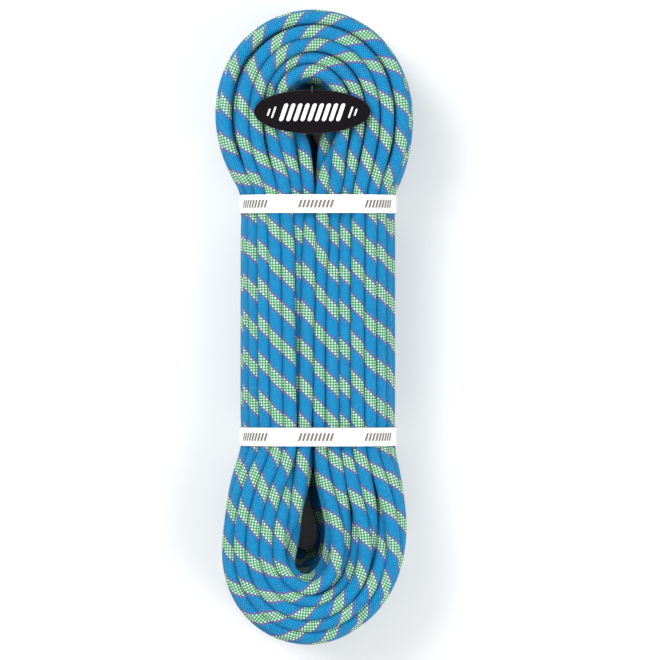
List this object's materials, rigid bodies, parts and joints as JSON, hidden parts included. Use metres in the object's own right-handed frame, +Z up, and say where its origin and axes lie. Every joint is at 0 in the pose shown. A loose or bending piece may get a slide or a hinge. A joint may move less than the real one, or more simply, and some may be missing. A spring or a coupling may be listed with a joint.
{
  "type": "dynamic climbing rope",
  "caption": "Braided dynamic climbing rope, wound into a long hank with an eye at each end, held by printed bands and carrying an oval hang label.",
  "frame": {"origin": "on the floor plane, under the middle of the hank's box", "axes": "+Y along the hank towards the labelled head, +X to the right as the label is read, +Z up out of the front"},
  "size_m": [0.14, 0.4502, 0.108],
  "materials": {
    "rope_sheath": "tightly braided nylon, matte",
    "rope_core": "raw nylon yarn",
    "fused_nylon": "melted and set",
    "marker_film": "heat-shrunk film",
    "band_paper": "printed synthetic paper strip",
    "band_glue": "hot-melt glue",
    "label_board": "black board",
    "label_print_film": "printed film, satin",
    "tie_elastic": "thin black elastic",
    "toggle_plastic": "moulded bar"
  },
  "bodies": {
    "hank": {"rope_hank": "rope_sheath", "left_end_tail": "rope_sheath", "left_end_sheath": "rope_sheath", "left_end_core": "rope_core", "left_end_fused_tip": "fused_nylon", "left_end_marker_sleeve": "marker_film", "right_end_tail": "rope_sheath", "right_end_sheath": "rope_sheath", "right_end_core": "rope_core", "right_end_fused_tip": "fused_nylon", "right_end_marker_sleeve": "marker_film", "label_tie": "tie_elastic", "tie_toggle": "toggle_plastic"},
    "upper_band": {"upper_band": "band_paper", "upper_band_glue": "band_glue"},
    "lower_band": {"lower_band": "band_paper", "lower_band_glue": "band_glue"},
    "label": {"label_card": "label_board", "label_film": "label_print_film"}
  },
  "joints": [
    {"name": "upper_band_slide", "type": "slide", "parent": "hank", "child": "upper_band", "axis": [0, -1, 0], "range_m": [0, 0.06]},
    {"name": "lower_band_slide", "type": "slide", "parent": "hank", "child": "lower_band", "axis": [0, 1, 0], "range_m": [0, 0.06]},
    {"name": "label_flip", "type": "hinge", "parent": "hank", "child": "label", "pos_m": [-0.0015, 0.1665, 0.1053], "axis": [-1, 0, 0], "range_deg": [0, 150]}
  ]
}
